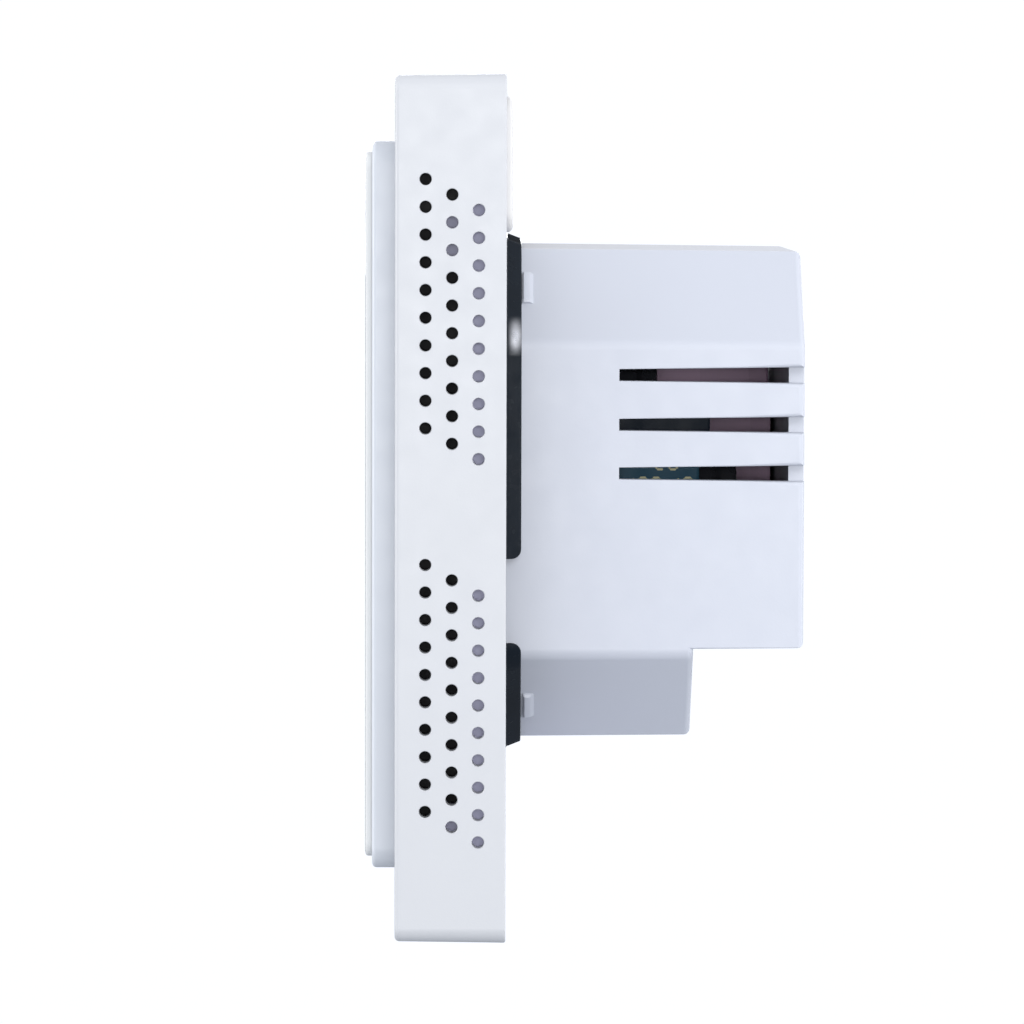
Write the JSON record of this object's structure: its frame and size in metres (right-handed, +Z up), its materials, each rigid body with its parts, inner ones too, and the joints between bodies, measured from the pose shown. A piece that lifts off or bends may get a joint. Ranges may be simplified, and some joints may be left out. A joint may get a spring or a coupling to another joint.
{
  "type": "wall thermostat",
  "caption": "Flush wall thermostat: square vented display unit on a plate, with a stepped eight-sided power housing that sits in the wall box.",
  "frame": {"origin": "centre of the front frame's back rim, in the wall plane", "axes": "+Z up, +Y into the wall, +X to the right seen from the front"},
  "size_m": [0.086, 0.0445, 0.086],
  "materials": {
    "white_plastic": "fine satin moulded plastic, cool white",
    "shell_plastic": "fine satin moulded plastic, a little darker and bluer",
    "cover_glass": "clear polished cover glass with a white printed back",
    "display_glass": "dark liquid crystal panel",
    "diffuser": "milky light guide",
    "film": "amber flexible film",
    "circuit_board": "green solder mask",
    "chip_plastic": "moulded epoxy",
    "black_plastic": "black moulded plastic",
    "steel": "plated steel",
    "brass": "plated brass",
    "copper_wire": "enamelled copper winding",
    "black_painted_steel": "glossy black coating",
    "teal_case": "dark teal moulded case",
    "black_sleeve": "black shrink sleeve",
    "ferrite": "dark ferrite",
    "winding_tape": "mauve winding tape",
    "blue_coating": "dipped blue coating",
    "fuse_ceramic": "ceramic tube",
    "terminal_plastic": "green moulded plastic"
  },
  "bodies": {
    "wall_unit": {"base_plate": "white_plastic", "mounting_plate": "black_painted_steel", "rear_housing": "white_plastic", "power_board": "circuit_board", "pin_socket": "black_plastic", "assembly_screw_1": "steel", "assembly_screw_2": "steel", "assembly_screw_3": "steel", "assembly_screw_4": "steel", "film_capacitor": "teal_case", "bulk_capacitor": "black_sleeve", "output_capacitor": "black_sleeve", "transformer_core": "ferrite", "transformer_winding": "winding_tape", "fuse": "fuse_ceramic", "varistor": "blue_coating", "rectifier": "chip_plastic", "relay_base": "black_plastic", "relay_case": "black_plastic", "relay_coil": "copper_wire", "relay_yoke": "steel", "relay_contact": "brass", "terminal_block": "terminal_plastic", "contact_bar_1": "brass", "contact_bar_2": "brass", "contact_bar_3": "brass", "contact_bar_4": "brass", "contact_bar_5": "brass", "contact_bar_6": "brass"},
    "front_unit": {"front_frame": "white_plastic", "display_shell": "shell_plastic", "front_glass": "cover_glass", "lcd_panel": "display_glass", "light_guide": "diffuser", "touch_film": "film", "display_board": "circuit_board", "control_chip": "chip_plastic", "cell_holder": "black_plastic", "backup_cell": "steel", "air_sensor": "chip_plastic", "pin_header": "brass", "inner_chassis": "black_plastic", "board_screw_1": "steel", "board_screw_2": "steel", "board_screw_3": "steel", "board_screw_4": "steel"},
    "relay_armature_body": {"relay_armature": "steel"},
    "screw_1": {"clamp_screw_1": "steel"},
    "cage_1": {"clamp_cage_1": "steel"},
    "screw_2": {"clamp_screw_2": "steel"},
    "cage_2": {"clamp_cage_2": "steel"},
    "screw_3": {"clamp_screw_3": "steel"},
    "cage_3": {"clamp_cage_3": "steel"},
    "screw_4": {"clamp_screw_4": "steel"},
    "cage_4": {"clamp_cage_4": "steel"},
    "screw_5": {"clamp_screw_5": "steel"},
    "cage_5": {"clamp_cage_5": "steel"},
    "screw_6": {"clamp_screw_6": "steel"},
    "cage_6": {"clamp_cage_6": "steel"}
  },
  "joints": [
    {"name": "front_unit_pull", "type": "slide", "parent": "wall_unit", "child": "front_unit", "axis": [0, -1, 0], "range_m": [0, 0.03]},
    {"name": "relay_armature_rock", "type": "hinge", "parent": "wall_unit", "child": "relay_armature_body", "pos_m": [0.0147, 0.0172, 0.00735], "axis": [0, 0, -1], "range_deg": [0, 5], "stiffness_Nm_per_rad": 0.002, "springref_deg": -2.86},
    {"name": "clamp_screw_1_turn", "type": "hinge", "parent": "wall_unit", "child": "screw_1", "pos_m": [-0.01175, 0.0158, -0.0196], "axis": [0, -1, 0], "range_deg": [0, 1925]},
    {"name": "clamp_cage_1_lift", "type": "slide", "parent": "wall_unit", "child": "cage_1", "axis": [0, 1, 0], "range_m": [0, 0.0024]},
    {"name": "clamp_screw_2_turn", "type": "hinge", "parent": "wall_unit", "child": "screw_2", "pos_m": [-0.00705, 0.0158, -0.0196], "axis": [0, -1, 0], "range_deg": [0, 1925]},
    {"name": "clamp_cage_2_lift", "type": "slide", "parent": "wall_unit", "child": "cage_2", "axis": [0, 1, 0], "range_m": [0, 0.0024]},
    {"name": "clamp_screw_3_turn", "type": "hinge", "parent": "wall_unit", "child": "screw_3", "pos_m": [-0.00235, 0.0158, -0.0196], "axis": [0, -1, 0], "range_deg": [0, 1925]},
    {"name": "clamp_cage_3_lift", "type": "slide", "parent": "wall_unit", "child": "cage_3", "axis": [0, 1, 0], "range_m": [0, 0.0024]},
    {"name": "clamp_screw_4_turn", "type": "hinge", "parent": "wall_unit", "child": "screw_4", "pos_m": [0.00235, 0.0158, -0.0196], "axis": [0, -1, 0], "range_deg": [0, 1925]},
    {"name": "clamp_cage_4_lift", "type": "slide", "parent": "wall_unit", "child": "cage_4", "axis": [0, 1, 0], "range_m": [0, 0.0024]},
    {"name": "clamp_screw_5_turn", "type": "hinge", "parent": "wall_unit", "child": "screw_5", "pos_m": [0.00705, 0.0158, -0.0196], "axis": [0, -1, 0], "range_deg": [0, 1925]},
    {"name": "clamp_cage_5_lift", "type": "slide", "parent": "wall_unit", "child": "cage_5", "axis": [0, 1, 0], "range_m": [0, 0.0024]},
    {"name": "clamp_screw_6_turn", "type": "hinge", "parent": "wall_unit", "child": "screw_6", "pos_m": [0.01175, 0.0158, -0.0196], "axis": [0, -1, 0], "range_deg": [0, 1925]},
    {"name": "clamp_cage_6_lift", "type": "slide", "parent": "wall_unit", "child": "cage_6", "axis": [0, 1, 0], "range_m": [0, 0.0024]}
  ],
  "couplings": [
    {"joint": "clamp_screw_1_turn", "follows": "clamp_cage_1_lift", "rad_per_m": 13963},
    {"joint": "clamp_screw_2_turn", "follows": "clamp_cage_2_lift", "rad_per_m": 13963},
    {"joint": "clamp_screw_3_turn", "follows": "clamp_cage_3_lift", "rad_per_m": 13963},
    {"joint": "clamp_screw_4_turn", "follows": "clamp_cage_4_lift", "rad_per_m": 13963},
    {"joint": "clamp_screw_5_turn", "follows": "clamp_cage_5_lift", "rad_per_m": 13963},
    {"joint": "clamp_screw_6_turn", "follows": "clamp_cage_6_lift", "rad_per_m": 13963}
  ]
}
